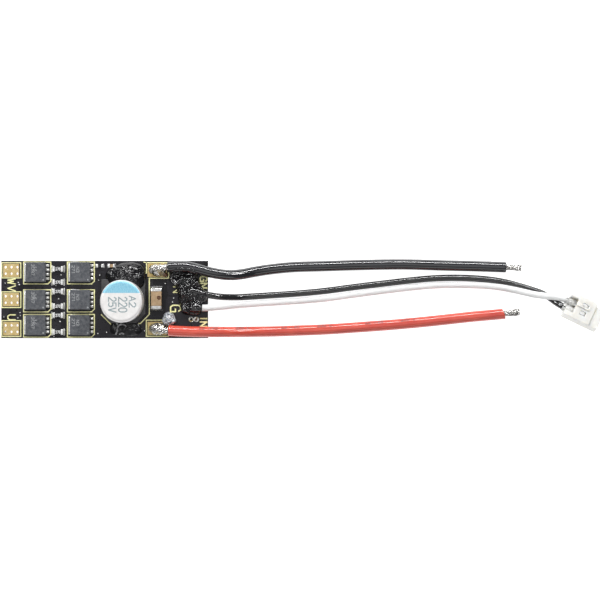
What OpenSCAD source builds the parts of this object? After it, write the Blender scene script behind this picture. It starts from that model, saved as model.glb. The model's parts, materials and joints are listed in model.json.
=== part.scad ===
// Speed controller for a small brushless motor: a bare circuit board with parts soldered on both
// faces, two battery leads with stripped ends, and a signal pair that ends in a small connector.
// Origin: the middle of the board, on the surface that the controller lies on.
// +X runs from the phase pads to the leads, +Y is towards the negative lead, and +Z is up.

/* [Board] */
// Length of the circuit board
board_l = 31; // [30.8:0.1:32]
// Width of the circuit board
board_w = 11.6; // [11.6:0.1:12.4]
// Thickness of the circuit board
board_t = 1.2; // [0.8:0.1:1.6]
// Height of the chips under the board, which it rests on
under_h = 1; // [0.95:0.05:1.2]

/* [Pads] */
// Length of a phase pad, along the board
phase_pad_l = 2.4; // [2.3:0.05:2.5]
// Width of a phase pad, across the board
phase_pad_w = 2; // [1.9:0.05:2.2]
// Distance between the phase pads' middles
phase_pitch = 4.37; // [4.2:0.01:4.7]
// Inside diameter of a plated hole
via_d = 0.4; // [0.3:0.05:0.45]

/* [Transistors] */
// Length of a power transistor's moulded body
fet_l = 3; // [2.8:0.05:3.1]
// Height of a power transistor above the board
fet_h = 0.85; // [0.7:0.05:1]
// Distance between a power transistor's leads
fet_pitch = 0.65; // [0.6:0.01:0.7]

/* [Capacitors] */
// Diameter of the capacitor's can
can_d = 6.3; // [6:0.1:6.4]
// Height of the capacitor above the board
can_h = 5.8; // [5.2:0.1:7.7]
// Side of the capacitor's plastic base
base_w = 6.6; // [6.6:0.05:6.7]
// Height of the ceramic bypass capacitor
bypass_h = 1.2; // [0.8:0.1:1.6]

/* [Leads] */
// Outside diameter of a battery lead
power_od = 1.6; // [1.5:0.05:1.6]
// Diameter of a battery lead's stranded conductor
power_core = 0.92; // [0.8:0.02:1]
// Length of conductor that is stripped bare at the far end
strip_l = 2.3; // [1.5:0.1:4]
// Outside diameter of a signal lead
signal_od = 1; // [0.8:0.05:1]

/* [Connector] */
// Length of the connector's housing
conn_l = 5.6; // [5.2:0.1:6]
// Width of the connector's housing, without its rib
conn_w = 3.7; // [3.5:0.05:4]
// Height of the connector's housing
conn_h = 2.7; // [2.5:0.05:3]
// Distance between the connector's two ways
conn_pitch = 1.25; // [1.2:0.01:1.27]

/* [Hidden] */
$fn = 48;
eps = 0.01;
bottom_z = under_h;
top_z = bottom_z + board_t;
copper_t = 0.05;
plating_t = 0.03;

phases = ["c", "b", "a"];
sides = ["low", "high"];

// Pads: the phase holes' pitches, and each other pad's [x, y, length, width].
pad_x = -14;
via_pitch_x = 0.88;
via_pitch_y = 0.98;
battery_pads = [[7.9, 4.4, 2.9, 2], [7.9, -4.33, 2.9, 1.95]];
signal_pads = [[12.6, 1.2, 1.6, 1.1], [12.6, -1.3, 1.6, 1.1]];
ring_vias = [[13, -3], [13.75, -3]];
ring_w = 0.16;

// Power transistors: one column for each side of the bridge, one row for each phase.
fet_x = [-10.29, -3.63];
fet_y = [4.1, -0.05, -3.85];
fet_leads = 4;
frame_t = 0.2;
tab_out = 0.28;
lead_out = 0.42;
lead_w = 0.36;

// Gate resistors, in the same order: [x, y] of the low side's and the high side's.
resistor_x = -6.98;
resistor_y = [[4.57, 2.6], [1.2, -1], [-2.37, -4.87]];

// Chip sizes: [length, width, height, terminal length, solder fillet].
chip_1206 = [3.2, 1.6, bypass_h, 0.5, 0.2];
chip_0603 = [1.6, 0.8, 0.45, 0.32, 0.2];
chip_0603_tall = [1.6, 0.8, 0.8, 0.32, 0.15];
chip_0402 = [1, 0.5, 0.35, 0.24, 0.14];
chip_0402_tall = [1, 0.5, 0.5, 0.24, 0.14];
filter_at = [[-0.72, 5.05], [1.05, 5.05]];
bypass_at = [7.79, 0.14];

// Electrolytic capacitor: its base stands on the board, and the can on the base.
can_at = [2.84, -0.26];
base_t = 0.6;
base_cut = 1.4;
can_wall = 0.25;
can_r = can_d / 2;
bead_z = 1.5;
bead_depth = 0.3;
bung_h = 1.3;
can_lead = [0.7, 3.9];

// Parts under the board.
driver_at = [-3.2, 0];
driver_w = 4;
mcu_at = [6.2, 0.4];
mcu_w = 3;
qfn_pitch = 0.5;
regulator_at = [12.1, -3];
diode_x = -10.9;
boot_x = -8.2;
boot_y = [3.8, 0, -3.8];
decoupling_at = [[9.2, 1.8], [9.2, -1], [3.2, 3.6], [12, 0.4], [-0.1, 4.6]];
sense_at = [for (x = [1.2, 3], y = [-4.6, -3.2, -1.8]) [x, y]];

// Leads' routes, from the board to the far end, along the middle of each lead.
power_r = power_od / 2;
signal_r = signal_od / 2;
negative_route = [
    [9.5, 4.85, 3.02], [11, 4.95, 3.04], [12.4, 4.9, 3.04], [14, 4.55, 3.04], [15.6, 4.12, 3.02],
    [17.2, 3.8, 2.84], [18.9, 3.65, 2.4], [20.6, 3.8, 1.8], [22.4, 4.15, 1.25], [24.6, 4.5, 0.9],
    [28, 4.85, 0.8], [33, 5.02, 0.8], [39, 5.2, 0.8], [45, 5.28, 0.8], [51, 5.12, 0.8],
    [56, 5, 0.8], [60.3, 4.85, 0.8]];
positive_route = [
    [9.6, -4.65, 3.02], [11.4, -4.75, 3.04], [13.4, -4.82, 3.04], [15.5, -4.85, 3.02],
    [17.4, -4.86, 2.78], [19.2, -4.86, 2.3], [21, -4.85, 1.7], [22.8, -4.83, 1.2],
    [25, -4.8, 0.88], [28.5, -4.68, 0.8], [33, -4.5, 0.8], [39, -4.1, 0.8], [44.5, -3.68, 0.8],
    [50, -3.15, 0.8], [55, -2.6, 0.8], [60, -2.15, 0.8]];
ground_route = [
    [13.2, 1.25, 2.78], [14.4, 0.95, 2.82], [15.6, 0.66, 2.78], [17, 0.45, 2.45],
    [18.6, 0.35, 1.75], [20.4, 0.36, 0.95], [22.4, 0.47, 0.58], [25, 0.64, 0.5],
    [28.2, 0.85, 0.5], [32.6, 1.24, 0.5], [37, 1.81, 0.5], [41.4, 2.34, 0.5],
    [46.2, 2.9, 0.5], [49.8, 3.2, 0.5], [53.4, 3.25, 0.5], [57, 3.06, 0.5],
    [59.6, 2.7, 0.5], [62, 2.12, 0.5], [64.2, 1.46, 0.5], [65.6, 0.98, 0.5], [66.8, 0.32, 0.54],
    [67.7, -0.36, 0.86], [68.4, -0.83, 1.27], [69.06, -1.2, 1.58], [69.86, -1.6, 1.69]];
signal_route = [
    [13.2, -1.3, 2.78], [14.5, -1.28, 2.82], [15.7, -1.22, 2.76], [17.3, -1.1, 2.35],
    [19, -0.93, 1.6], [20.8, -0.78, 0.9], [22.8, -0.62, 0.56], [25.2, -0.48, 0.5],
    [28.2, -0.28, 0.5], [32.8, 0.1, 0.5], [37, 0.67, 0.5], [41.5, 1.26, 0.5],
    [46.2, 1.82, 0.5], [49.8, 2.12, 0.5], [53.4, 2.18, 0.5], [57, 2.07, 0.74],
    [59.6, 1.78, 0.99], [61.8, 1.36, 1.18], [63, 1.08, 1.26], [64.2, 0.8, 1.36],
    [65.6, 0.58, 1.54], [67, 0.44, 1.64], [68.4, 0.25, 1.57], [69.57, -0.13, 1.44],
    [70.38, -0.52, 1.43]];
negative_joint = [7.3, 4.6, 2.72];
positive_joint = [7.3, -4.5, 2.72];

// Connector: its back edge's middle, and how it has turned and rolled where it lies.
conn_at = [69.2, -0.9];
conn_turn = -25.7;
conn_roll = -12;
way_z = 1.2;
way_w = 1.06;
crimp_r = signal_r + 0.08;
crimp_l = 1;

// Outlines of the glue on the board, seen from above.
cable_glue = [
    [9.2, -1.3], [9.4, 1.4], [9.9, 3.2], [11.2, 4.1], [13.6, 3.9], [15.3, 3.1], [15.4, 0],
    [15.4, -2], [13.4, -2.4], [10.9, -2.5], [9.7, -2.2]];
upper_glue = [
    [-0.3, 3.2], [0.4, 4.5], [2, 5.4], [5.2, 5.5], [6, 4.6], [6, 2.6], [4.4, 1.6], [1.4, 1.6]];
lower_glue = [[0.9, -3], [0.7, -4.6], [1.9, -5.4], [4.8, -5.5], [5.9, -4.9], [5.9, -3.6]];

fet_names = [for (p = phases, s = sides) str("mosfet_", p, "_", s)];

// ---- Shared shapes ----

function unit(v) = v / norm(v);
function along(p, i) = unit(p[min(i + 1, len(p) - 1)] - p[max(i - 1, 0)]);

// The points of one ring of a swept tube, across the route at its point i.
function ring(p, i, r, n) =
    let (t = along(p, i), s = unit(cross(t, [0, 0, 1])), u = cross(s, t))
    [for (k = [0:n - 1]) let (a = 360 * (k + 0.5) / n) p[i] + r * (cos(a) * s + sin(a) * u)];

// A tube of radius r swept along route p, with n sides and a ring at each point.
module tube(p, r, n = 8) {
    last = len(p) - 1;
    points = [for (i = [0:last]) each ring(p, i, r, n)];
    walls = [for (i = [0:last - 1], k = [0:n - 1])
        let (a = i * n + k, b = i * n + (k + 1) % n) [a, b, b + n, a + n]];
    caps = [[for (k = [n - 1:-1:0]) k], [for (k = [0:n - 1]) last * n + k]];
    polyhedron(points, concat(walls, caps), convexity = 6);
}

// A round rod of radius r from point a to point b.
module rod(a, b, r) {
    d = b - a;
    translate(a)
        rotate([0, acos(d.z / norm(d)), atan2(d.y, d.x)])
        cylinder(r = r, h = norm(d));
}

// A box that is centred in X and Y and stands on z = 0.
module block(l, w, h) {
    translate([-l / 2, -w / 2, 0]) cube([l, w, h]);
}

// A block whose upper edges are chamfered by c.
module chamfered(l, w, h, c) {
    hull() {
        block(l, w, h - c);
        block(l - 2 * c, w - 2 * c, h);
    }
}

// What stands on the board's upper face.
module on_top(at) {
    translate([at.x, at.y, top_z]) children();
}

// What hangs from the board's lower face, drawn as if it stood on z = 0.
module underneath(at) {
    translate([at.x, at.y, bottom_z]) mirror([0, 0, 1]) children();
}

// The middle of a two-terminal chip.
module chip(c) {
    block(c[0] - 2 * c[3], c[1] - 0.04, c[2] - 0.02);
}

// Both terminals of a chip, with their solder fillets.
module chip_ends(c) {
    inner = c[0] / 2 - c[3];
    profile = [[inner, 0], [c[0] / 2 + c[4], 0], [c[0] / 2 + 0.3 * c[4], 0.4 * c[2]],
        [c[0] / 2, c[2]], [inner, c[2]]];
    for (turn = [0, 180])
        rotate(turn)
        translate([0, c[1] / 2, 0]) rotate([90, 0, 0])
        linear_extrude(c[1]) polygon(profile);
}

// A pad of copper on the board's upper face.
module pad(p) {
    on_top(p) block(p[2], p[3], copper_t);
}

// ---- Board and pads ----

function via_at(row) = [for (i = [-1:1], j = [-0.5, 0.5])
    [pad_x + i * via_pitch_x, phase_pitch * (1 - row) + j * via_pitch_y]];

module via_holes(d) {
    for (p = concat(via_at(0), via_at(1), via_at(2), ring_vias))
        translate([p.x, p.y, bottom_z - 1]) cylinder(d = d, h = board_t + 2);
}

module barrel(p, rim) {
    translate([p.x, p.y, bottom_z - copper_t]) {
        cylinder(d = via_d + 2 * plating_t, h = board_t + 2 * copper_t);
        for (z = [0, board_t + copper_t])
            translate([0, 0, z]) cylinder(d = via_d + 2 * plating_t + 2 * rim, h = copper_t);
    }
}

module circuit_board() {
    color([0.1, 0.09, 0.11])
        difference() {
            translate([0, 0, bottom_z]) block(board_l, board_w, board_t);
            via_holes(via_d + 2 * plating_t);
        }
}

module phase_pad(row) {
    color([0.85, 0.65, 0.4])
        difference() {
            union() {
                for (z = [bottom_z - copper_t, top_z])
                    translate([pad_x, phase_pitch * (1 - row), z])
                        block(phase_pad_l, phase_pad_w, copper_t);
                for (p = via_at(row)) barrel(p, 0);
            }
            via_holes(via_d);
        }
}

module battery_pads() {
    color([0.85, 0.65, 0.4]) for (p = battery_pads) pad(p);
}

module signal_pads() {
    color([0.85, 0.65, 0.4]) {
        for (p = signal_pads) pad(p);
        difference() {
            for (p = ring_vias) barrel(p, ring_w);
            via_holes(via_d);
        }
    }
}

// ---- Power transistors and gate resistors ----

module fet_frame() {
    translate([-fet_l / 2 - tab_out, -fet_l * 0.46, 0])
        cube([fet_l * 0.75 + tab_out, fet_l * 0.92, frame_t]);
    for (i = [0:fet_leads - 1])
        translate([fet_l / 2 - 0.35, (i - (fet_leads - 1) / 2) * fet_pitch - lead_w / 2, 0])
            cube([0.35 + lead_out, lead_w, frame_t]);
}

module mosfet(row, side) {
    color([0.3, 0.31, 0.35])
        on_top([fet_x[side], fet_y[row]])
        difference() {
            chamfered(fet_l, fet_l, fet_h, 0.06);
            fet_frame();
        }
}

module mosfet_leads(row, side) {
    color("silver") on_top([fet_x[side], fet_y[row]]) fet_frame();
}

module gate_resistor(row, side) {
    color([0.12, 0.12, 0.13]) on_top([resistor_x, resistor_y[row][side]]) chip(chip_0603);
}

module gate_resistor_terminals() {
    color("silver")
        for (row = [0:2], side = [0:1])
            on_top([resistor_x, resistor_y[row][side]]) chip_ends(chip_0603);
}

module filter_resistor() {
    color([0.12, 0.12, 0.13]) on_top(filter_at[0]) chip(chip_0402);
}

module filter_capacitor() {
    color([0.6, 0.48, 0.35]) on_top(filter_at[1]) chip(chip_0402_tall);
}

module filter_terminals() {
    color("silver") {
        on_top(filter_at[0]) chip_ends(chip_0402);
        on_top(filter_at[1]) chip_ends(chip_0402_tall);
    }
}

// ---- Electrolytic and ceramic capacitors ----

// The can's outer outline, shrunk by t, with its bead and its rounded shoulder.
module can_outline(t) {
    h = can_h - base_t;
    r = can_r - t;
    shoulder = 0.45;
    difference() {
        union() {
            square([r, h - t - shoulder]);
            square([r - shoulder, h - t]);
            translate([r - shoulder, h - t - shoulder]) circle(shoulder);
        }
        translate([r + bead_depth, bead_z]) circle(2 * bead_depth);
    }
}

module capacitor_can() {
    color([0.85, 0.86, 0.88])
        on_top(can_at) translate([0, 0, base_t])
        rotate_extrude($fn = 96)
        difference() {
            can_outline(0);
            translate([0, -eps]) can_outline(can_wall);
        }
}

// The bung's top is under the bead, which holds it in the can.
module capacitor_bung() {
    color([0.15, 0.15, 0.15])
        on_top(can_at) translate([0, 0, base_t])
        intersection() {
            cylinder(r = can_r, h = bung_h);
            rotate_extrude() can_outline(can_wall);
        }
}

module capacitor_winding() {
    inner = can_r - can_wall - bead_depth - 0.15;
    color([0.6, 0.6, 0.62])
        on_top(can_at) translate([0, 0, base_t + bung_h + 0.1])
        difference() {
            cylinder(r = inner, h = can_h - base_t - bung_h - can_wall - 0.4);
            translate([0, 0, -1]) cylinder(r = 0.4, h = can_h);
        }
}

module capacitor_base() {
    half = base_w / 2;
    color([0.1, 0.1, 0.1])
        on_top(can_at)
        difference() {
            linear_extrude(base_t)
                polygon([[-half, half], [-half, base_cut - half], [base_cut - half, -half],
                    [half - base_cut, -half], [half, base_cut - half], [half, half]]);
            capacitor_lead_bars();
        }
}

// The two flat leads, which come out under the base at its straight and its cut side.
module capacitor_lead_bars() {
    for (turn = [0, 180])
        rotate(turn)
        translate([-can_lead[0] / 2, can_lead[1] - 2.6, 0]) cube([can_lead[0], 2.6, 0.15]);
}

module capacitor_leads() {
    color("silver") on_top(can_at) capacitor_lead_bars();
}

module bypass_capacitor() {
    color([0.78, 0.62, 0.45]) on_top(bypass_at) rotate(90) chip(chip_1206);
}

module bypass_terminals() {
    color("silver") on_top(bypass_at) rotate(90) chip_ends(chip_1206);
}

// ---- Solder and glue ----

// A rounded heap that stands on the board's upper face and covers outline o.
module heap(o, h, slope) {
    hull() {
        linear_extrude(0.3 * h) polygon(o);
        linear_extrude(0.8 * h) offset(delta = -0.45 * slope) polygon(o);
        linear_extrude(h) offset(delta = -slope) polygon(o);
    }
}

function ellipse(at, rx, ry, n) =
    [for (i = [0:n - 1]) [at.x + rx * cos(i * 360 / n), at.y + ry * sin(i * 360 / n)]];

module battery_solder(at, joint, route) {
    difference() {
        translate([0, 0, top_z + copper_t]) heap(ellipse(at, 1.4, 0.95, 16), 1.1, 0.5);
        rod(joint, route[0] + [0.1, 0, 0], power_core / 2);
        tube(route, power_r);
    }
}

module negative_solder() {
    color("silver") battery_solder(battery_pads[0], negative_joint, negative_route);
}

module positive_solder() {
    color("silver") battery_solder(battery_pads[1], positive_joint, positive_route);
}

module signal_solder() {
    color("silver")
        for (p = signal_pads)
            translate([0, 0, top_z + copper_t]) heap(ellipse(p, 0.55, 0.45, 12), 0.6, 0.2);
}

module cable_adhesive() {
    color([0.05, 0.05, 0.05])
        difference() {
            translate([0, 0, top_z]) heap(cable_glue, 1.35, 0.8);
            for (r = [ground_route, signal_route]) tube(r, signal_r);
            tube(negative_route, power_r);
            pad(signal_pads[0]);
            pad(signal_pads[1]);
            signal_solder();
        }
}

module capacitor_adhesive() {
    color([0.05, 0.05, 0.05])
        difference() {
            union() {
                translate([0, 0, top_z]) heap(upper_glue, 1.5, 0.5);
                translate([0, 0, top_z]) heap(lower_glue, 1, 0.45);
            }
            on_top(can_at) cylinder(r = can_r, h = can_h);
            on_top(can_at) block(base_w, base_w, base_t);
            on_top(can_at) capacitor_lead_bars();
            on_top(filter_at[1]) block(1.4, 0.6, 0.6);
        }
}

module clear_adhesive() {
    color([0.85, 0.88, 0.92])
        difference() {
            translate([0, 0, top_z]) heap(ellipse([9.55, -2.75], 1, 0.95, 16), 1.2, 0.55);
            translate([0, 0, top_z]) heap(cable_glue, 1.35, 0.8);
            tube(positive_route, power_r);
            positive_solder();
            pad(battery_pads[1]);
        }
}

// ---- Parts under the board ----

// The contacts of a square leadless chip: n along each side, and the pad in its middle.
module qfn_contacts(w, n) {
    for (turn = [0, 90, 180, 270], i = [0:n - 1])
        rotate(turn)
        translate([w / 2 - 0.35, (i - (n - 1) / 2) * qfn_pitch - 0.125, 0])
        cube([0.4, 0.25, 0.2]);
    block(w - 1.3, w - 1.3, 0.2);
}

module qfn_body(w, n) {
    difference() {
        translate([0, 0, 0.04]) block(w, w, under_h - 0.04);
        qfn_contacts(w, n);
    }
}

module microcontroller() {
    color([0.13, 0.13, 0.14]) underneath(mcu_at) qfn_body(mcu_w, 5);
}

module microcontroller_contacts() {
    color("silver") underneath(mcu_at) qfn_contacts(mcu_w, 5);
}

module gate_driver() {
    color([0.13, 0.13, 0.14]) underneath(driver_at) qfn_body(driver_w, 6);
}

module gate_driver_contacts() {
    color("silver") underneath(driver_at) qfn_contacts(driver_w, 6);
}

// A five-lead regulator: a body whose sides slope both ways from where the leads come out.
module voltage_regulator() {
    h = under_h;
    color([0.13, 0.13, 0.14])
        underneath(regulator_at)
        rotate([90, 0, 90]) translate([0, 0, -1.45])
        linear_extrude(2.9)
        polygon([[-0.7, 0.08], [0.7, 0.08], [0.8, 0.5], [0.7, h], [-0.7, h], [-0.8, 0.5]]);
}

module gull_lead() {
    translate([-0.2, 0, 0]) rotate([90, 0, 90])
        linear_extrude(0.4)
        polygon([[0.8, 0.42], [1, 0.42], [1.12, 0], [1.45, 0], [1.45, 0.14], [1.22, 0.14],
            [1.12, 0.58], [0.783, 0.58]]);
}

module voltage_regulator_leads() {
    color("silver")
        underneath(regulator_at) {
            for (x = [-0.95, 0, 0.95]) translate([x, 0, 0]) gull_lead();
            for (x = [-0.95, 0.95]) translate([x, 0, 0]) rotate(180) gull_lead();
        }
}

module bootstrap_diodes() {
    color([0.13, 0.13, 0.14])
        for (y = boot_y) underneath([diode_x, y]) translate([0, 0, 0.02]) block(1.5, 1.25, 0.85);
}

module bootstrap_capacitors() {
    color([0.6, 0.48, 0.35]) for (y = boot_y) underneath([boot_x, y]) rotate(90) chip(chip_0603_tall);
}

module decoupling_capacitors() {
    color([0.6, 0.48, 0.35])
        for (p = decoupling_at) underneath(p) rotate(90) chip(chip_0402_tall);
}

module sense_resistors() {
    color([0.12, 0.12, 0.13]) for (p = sense_at) underneath(p) chip(chip_0402);
}

module underside_terminals() {
    color("silver") {
        for (y = boot_y) underneath([boot_x, y]) rotate(90) chip_ends(chip_0603_tall);
        for (y = boot_y, turn = [0, 180])
            underneath([diode_x, y]) rotate(turn) translate([0.95, 0, 0]) block(0.4, 0.6, 0.2);
        for (p = decoupling_at) underneath(p) rotate(90) chip_ends(chip_0402_tall);
        for (p = sense_at) underneath(p) chip_ends(chip_0402);
    }
}

// ---- Leads ----

module negative_lead() {
    color([0.1, 0.1, 0.12]) tube(negative_route, power_r);
}

module positive_lead() {
    color([0.85, 0.25, 0.2]) tube(positive_route, power_r);
}

module ground_lead() {
    color([0.1, 0.1, 0.1]) tube(ground_route, signal_r);
}

module signal_lead() {
    color([0.95, 0.95, 0.95]) tube(signal_route, signal_r);
}

// The bare conductor at both ends of a battery lead.
module bare_ends(joint, route) {
    last = len(route) - 1;
    rod(joint, route[0], power_core / 2);
    rod(route[last], route[last] + strip_l * along(route, last), power_core / 2);
}

module negative_conductor() {
    color("silver") bare_ends(negative_joint, negative_route);
}

module positive_conductor() {
    color("silver") bare_ends(positive_joint, positive_route);
}

// ---- Connector ----

// Puts a shape drawn along +X, with its back at x = 0 and its foot on z = 0, where the
// connector lies: rolled about its own length, with its lowest edge on the surface.
module connector_place() {
    translate([conn_at.x, conn_at.y, conn_w / 2 * sin(-conn_roll)])
        rotate([0, 0, conn_turn]) rotate([conn_roll, 0, 0])
        children();
}

module connector_ways(w) {
    for (side = [-1, 1])
        translate([0, side * conn_pitch / 2 - w / 2, way_z - w / 2])
            children();
}

module connector_housing() {
    nose_l = 1.4;
    rib_l = 2.3;
    rib_x = 1.1;
    back_l = 1.3;
    color([0.95, 0.95, 0.93])
        connector_place()
        difference() {
            union() {
                translate([0, -conn_w / 2, 0]) cube([conn_l - nose_l, conn_w, conn_h]);
                translate([conn_l - nose_l - eps, -conn_w / 2, 0])
                    cube([nose_l + eps, conn_w - 0.5, conn_h - 0.25]);
                translate([rib_x, conn_w / 2 - eps, 0.8]) cube([rib_l, 0.55, 1.5]);
                translate([rib_x, 0.1, conn_h - eps]) cube([rib_l, 0.5, 0.25]);
            }
            // Two ways from the back, a smaller mouth for each pin, and an open top at the back.
            connector_ways(way_w) translate([-eps, 0, 0]) cube([conn_l - 0.6, way_w, way_w]);
            connector_ways(0.6) cube([conn_l + 1, 0.6, 0.6]);
            translate([-eps, -conn_pitch / 2 - way_w / 2, way_z])
                cube([back_l, conn_pitch + way_w, conn_h]);
            for (side = [-1, 1])
                translate([2.2, side * conn_pitch / 2 - 0.3, conn_h - 1.2]) cube([0.9, 0.6, 2]);
        }
}

// Each terminal is a box for the pin, with a crimp round the end of its lead.
module connector_terminals() {
    box_w = 0.86;
    color("silver")
        connector_place()
        difference() {
            union() {
                connector_ways(box_w) translate([crimp_l, 0, 0]) cube([3.6, box_w, box_w]);
                connector_ways(0) rotate([0, 90, 0]) cylinder(r = crimp_r, h = crimp_l, $fn = 32);
            }
            connector_ways(0) translate([-eps, 0, 0])
                rotate([0, 90, 0]) cylinder(r = signal_r + 0.02, h = crimp_l + eps, $fn = 32);
            connector_ways(0.5) translate([crimp_l + 0.6, 0, 0]) cube([4, 0.5, 0.5]);
        }
}

// ---- What is drawn ----

for (row = [0:2]) {
    phase_pad(row);
    for (side = [0:1]) {
        name = fet_names[2 * row + side];
        mosfet(row, side);
        mosfet_leads(row, side);
        gate = str("gate_resistor_", phases[row], "_", sides[side]);
        gate_resistor(row, side);
    }
}
circuit_board();
battery_pads();
signal_pads();
gate_resistor_terminals();
filter_resistor();
filter_capacitor();
filter_terminals();
capacitor_can();
capacitor_bung();
capacitor_winding();
capacitor_base();
capacitor_leads();
bypass_capacitor();
bypass_terminals();
negative_solder();
positive_solder();
signal_solder();
cable_adhesive();
capacitor_adhesive();
clear_adhesive();
microcontroller();
microcontroller_contacts();
gate_driver();
gate_driver_contacts();
voltage_regulator();
voltage_regulator_leads();
bootstrap_diodes();
bootstrap_capacitors();
decoupling_capacitors();
sense_resistors();
underside_terminals();
negative_lead();
positive_lead();
ground_lead();
signal_lead();
negative_conductor();
positive_conductor();
connector_housing();
connector_terminals();
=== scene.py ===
"""The looks of a small brushless speed controller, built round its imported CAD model.

Lengths are in mm in the row frame, and make() turns them into metres.
"""

import json
from math import atan2, copysign, cos, exp, hypot, pi, radians, sin, sqrt

import bpy
import numpy as np
from mathutils import Vector, noise
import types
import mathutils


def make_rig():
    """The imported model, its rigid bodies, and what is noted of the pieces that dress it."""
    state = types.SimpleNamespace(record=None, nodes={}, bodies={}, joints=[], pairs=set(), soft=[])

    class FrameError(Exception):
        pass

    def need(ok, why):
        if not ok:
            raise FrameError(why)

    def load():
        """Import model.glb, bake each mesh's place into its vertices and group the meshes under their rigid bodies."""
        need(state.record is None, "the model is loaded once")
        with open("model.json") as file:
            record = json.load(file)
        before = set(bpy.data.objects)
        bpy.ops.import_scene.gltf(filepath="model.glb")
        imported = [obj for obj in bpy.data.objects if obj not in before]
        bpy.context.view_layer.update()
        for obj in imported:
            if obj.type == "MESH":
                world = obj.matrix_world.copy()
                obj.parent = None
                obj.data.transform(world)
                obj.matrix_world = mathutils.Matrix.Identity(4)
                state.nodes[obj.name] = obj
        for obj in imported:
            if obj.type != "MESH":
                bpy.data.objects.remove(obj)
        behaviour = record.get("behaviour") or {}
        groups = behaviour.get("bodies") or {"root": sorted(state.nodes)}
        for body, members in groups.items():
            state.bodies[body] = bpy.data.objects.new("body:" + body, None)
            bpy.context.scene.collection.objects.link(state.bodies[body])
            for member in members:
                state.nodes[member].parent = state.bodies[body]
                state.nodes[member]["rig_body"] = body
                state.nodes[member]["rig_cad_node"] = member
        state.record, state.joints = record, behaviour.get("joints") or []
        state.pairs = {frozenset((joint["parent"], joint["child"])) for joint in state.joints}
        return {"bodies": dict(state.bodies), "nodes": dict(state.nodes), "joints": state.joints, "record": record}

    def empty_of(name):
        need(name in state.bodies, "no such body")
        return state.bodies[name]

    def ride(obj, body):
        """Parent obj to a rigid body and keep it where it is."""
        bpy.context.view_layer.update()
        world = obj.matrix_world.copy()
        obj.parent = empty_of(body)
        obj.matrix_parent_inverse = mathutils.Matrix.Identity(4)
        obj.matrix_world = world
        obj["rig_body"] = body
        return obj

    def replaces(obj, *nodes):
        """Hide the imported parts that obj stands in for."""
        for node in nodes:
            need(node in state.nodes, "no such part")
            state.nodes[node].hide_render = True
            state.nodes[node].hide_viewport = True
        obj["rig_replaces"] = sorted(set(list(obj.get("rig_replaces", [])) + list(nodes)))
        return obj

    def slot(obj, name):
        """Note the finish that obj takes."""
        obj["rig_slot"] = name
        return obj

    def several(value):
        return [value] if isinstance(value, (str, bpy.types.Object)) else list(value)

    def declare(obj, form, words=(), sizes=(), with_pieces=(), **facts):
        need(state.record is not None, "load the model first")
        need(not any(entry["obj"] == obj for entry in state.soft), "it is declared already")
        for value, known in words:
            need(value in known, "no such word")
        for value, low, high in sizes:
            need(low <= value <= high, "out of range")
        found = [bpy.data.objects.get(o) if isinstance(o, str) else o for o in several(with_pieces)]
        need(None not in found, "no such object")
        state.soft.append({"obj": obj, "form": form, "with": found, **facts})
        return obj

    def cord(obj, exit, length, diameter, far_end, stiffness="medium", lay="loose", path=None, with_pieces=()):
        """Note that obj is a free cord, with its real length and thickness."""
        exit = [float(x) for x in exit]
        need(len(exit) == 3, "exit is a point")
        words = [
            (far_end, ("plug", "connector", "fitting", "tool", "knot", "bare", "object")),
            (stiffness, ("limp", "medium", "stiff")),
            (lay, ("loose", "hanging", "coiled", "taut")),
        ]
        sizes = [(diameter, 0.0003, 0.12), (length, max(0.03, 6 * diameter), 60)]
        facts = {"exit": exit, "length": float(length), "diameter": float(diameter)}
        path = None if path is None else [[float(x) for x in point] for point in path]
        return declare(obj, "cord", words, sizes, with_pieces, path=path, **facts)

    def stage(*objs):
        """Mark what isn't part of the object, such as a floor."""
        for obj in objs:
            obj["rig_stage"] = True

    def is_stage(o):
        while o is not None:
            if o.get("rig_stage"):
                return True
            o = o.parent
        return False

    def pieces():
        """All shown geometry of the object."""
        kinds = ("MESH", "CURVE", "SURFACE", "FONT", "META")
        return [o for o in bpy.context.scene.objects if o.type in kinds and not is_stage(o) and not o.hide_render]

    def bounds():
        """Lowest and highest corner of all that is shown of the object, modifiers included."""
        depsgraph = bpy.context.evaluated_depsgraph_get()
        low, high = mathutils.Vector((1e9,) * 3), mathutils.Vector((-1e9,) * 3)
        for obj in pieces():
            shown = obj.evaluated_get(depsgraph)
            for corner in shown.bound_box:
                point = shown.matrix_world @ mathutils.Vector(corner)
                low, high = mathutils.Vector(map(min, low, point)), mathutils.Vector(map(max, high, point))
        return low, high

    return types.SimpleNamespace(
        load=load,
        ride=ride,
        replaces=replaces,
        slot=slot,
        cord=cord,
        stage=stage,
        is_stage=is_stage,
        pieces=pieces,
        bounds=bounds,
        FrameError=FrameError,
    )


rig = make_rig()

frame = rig.load()
cad_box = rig.bounds()
nodes = frame["nodes"]

MM = 0.001  # one mm in metres
TOP = 2.2  # the board's upper face
BOTTOM = 1.0  # its lower face
LEAD_PITCH = 0.65  # between a transistor's leads
CAN = (2.84, -0.26)  # the can's axis
CAN_R = 3.15
CAN_TOP = 7.992  # the flat part of its top
UP = Vector((0, 0, 1))

scene = bpy.context.scene
put_in_scene = scene.collection.objects.link


# ---- Shapes ----

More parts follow.
